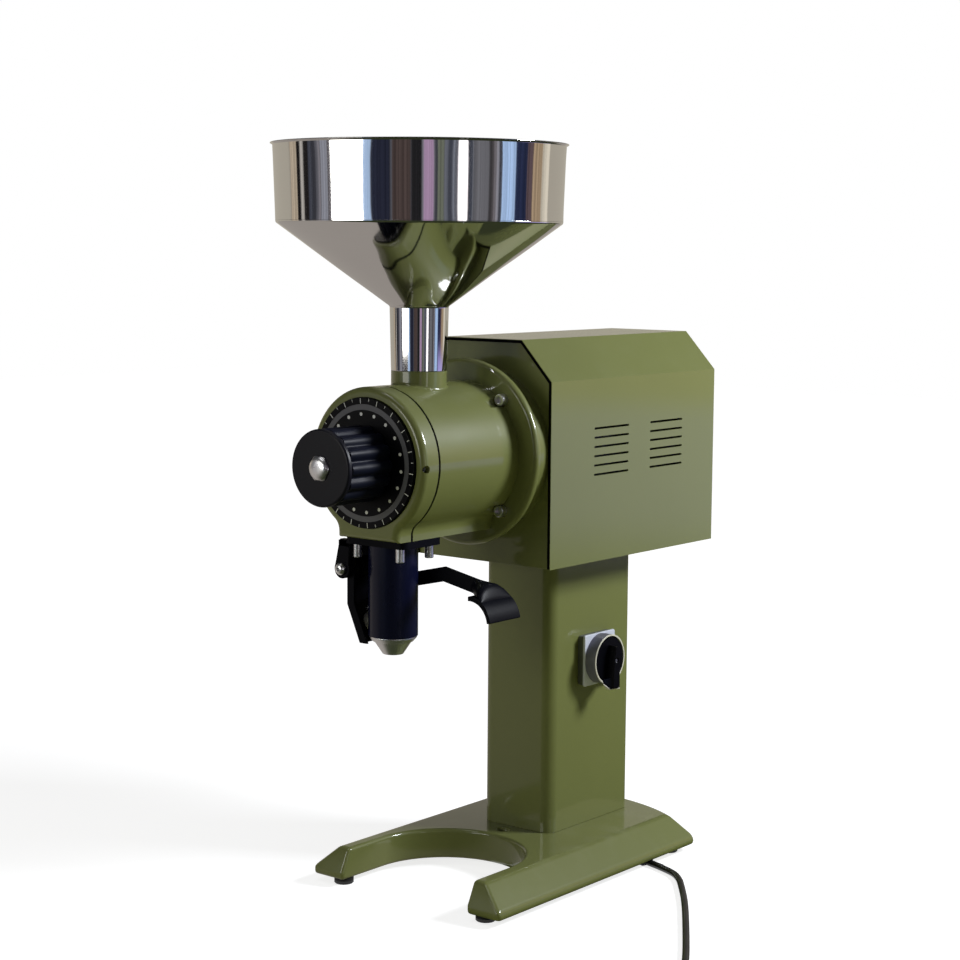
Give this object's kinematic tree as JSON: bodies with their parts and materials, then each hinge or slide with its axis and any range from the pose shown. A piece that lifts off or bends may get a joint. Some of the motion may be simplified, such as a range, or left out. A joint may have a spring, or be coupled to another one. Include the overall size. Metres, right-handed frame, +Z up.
{
  "type": "coffee grinder",
  "caption": "Shop coffee grinder with a wide steel funnel hopper, a lobed grind knob on a dial, a sprung bag clamp at the spout, a side switch and a U-shaped base.",
  "frame": {"origin": "middle of the machine's footprint on the standing surface, measured without the cord", "axes": "X to the machine's right, Y to its back, Z up; the knob and dial face -Y"},
  "size_m": [0.6386, 0.6181, 0.823],
  "materials": {
    "green_paint": "satin olive enamel",
    "black_paint": "gloss black enamel",
    "polished_steel": "polished stainless sheet",
    "chrome": "bright plated",
    "screw_steel": "plated fasteners",
    "steel": "machined",
    "iron": "machined cast iron",
    "aluminium": "die cast",
    "bronze": "turned bronze",
    "black_plastic": "matte black",
    "black_gloss": "gloss black",
    "grey_plastic": "dark grey green",
    "light_plastic": "light grey",
    "rubber": "black",
    "grey_rubber": "grey",
    "cord_rubber": "smooth black"
  },
  "bodies": {
    "frame": {"base_casting": "green_paint", "base_cover": "steel", "rubber_feet": "rubber", "column": "green_paint", "chassis_plate": "steel", "front_plate": "green_paint", "motor_cover": "green_paint", "back_panel": "green_paint", "grinder_head": "green_paint", "flange_screws": "screw_steel", "adjuster_housing": "green_paint", "ring_set_screw": "screw_steel", "head_gasket": "rubber", "adjuster_bush": "bronze", "head_bearing": "steel", "motor_stator": "iron", "motor_front_shield": "aluminium", "motor_rear_shield": "aluminium", "run_capacitor": "aluminium", "hopper_bowl": "polished_steel", "hopper_cone": "polished_steel", "spout_plate": "black_paint", "spout_tube": "black_paint", "spout_ring": "chrome", "spout_nozzle": "polished_steel", "spout_screws": "screw_steel", "clamp_pivot_bolt": "screw_steel", "clamp_spring": "steel", "switch_box": "grey_plastic", "switch_plate": "light_plastic", "switch_collar": "grey_plastic", "cord_gland": "rubber", "power_cord": "cord_rubber", "cord_coil": "cord_rubber", "power_plug": "cord_rubber"},
    "burr_slide": {"burr_carrier": "iron", "stationary_burr": "steel"},
    "adjuster": {"adjusting_spindle": "steel", "grind_dial": "black_plastic", "grind_knob": "black_gloss", "knob_cap": "black_plastic", "knob_nut": "chrome"},
    "drive": {"drive_shaft": "steel", "burr_hub": "iron", "hub_nut": "screw_steel", "rotating_burr": "steel", "feed_screw": "iron", "motor_rotor": "iron", "motor_fan": "black_plastic"},
    "clamp": {"clamp_arm": "black_paint", "clamp_pad": "grey_rubber", "clamp_lever": "black_paint"},
    "switch": {"switch_knob": "black_gloss", "switch_screw": "screw_steel"}
  },
  "joints": [
    {"name": "burr_gap", "type": "slide", "parent": "frame", "child": "burr_slide", "axis": [0, 1, 0], "range_m": [-0.0007, 0.0007]},
    {"name": "grind_setting", "type": "hinge", "parent": "burr_slide", "child": "adjuster", "pos_m": [0, -0.22, 0.49], "axis": [0, 1, 0], "range_deg": [-168, 168]},
    {"name": "drive_spin", "type": "hinge", "parent": "frame", "child": "drive", "pos_m": [0, 0, 0.49], "axis": [0, 1, 0], "continuous": true},
    {"name": "clamp_swing", "type": "hinge", "parent": "frame", "child": "clamp", "pos_m": [-0.046, -0.1755, 0.372], "axis": [0, 1, 0], "range_deg": [0, 20], "stiffness_Nm_per_rad": 2, "springref_deg": -17.19},
    {"name": "switch_turn", "type": "hinge", "parent": "frame", "child": "switch", "pos_m": [0.06, 0.1215, 0.239], "axis": [1, 0, 0], "range_deg": [-90, 0]}
  ],
  "couplings": [
    {"joint": "burr_gap", "follows": "grind_setting", "m_per_rad": 0.00023873}
  ]
}
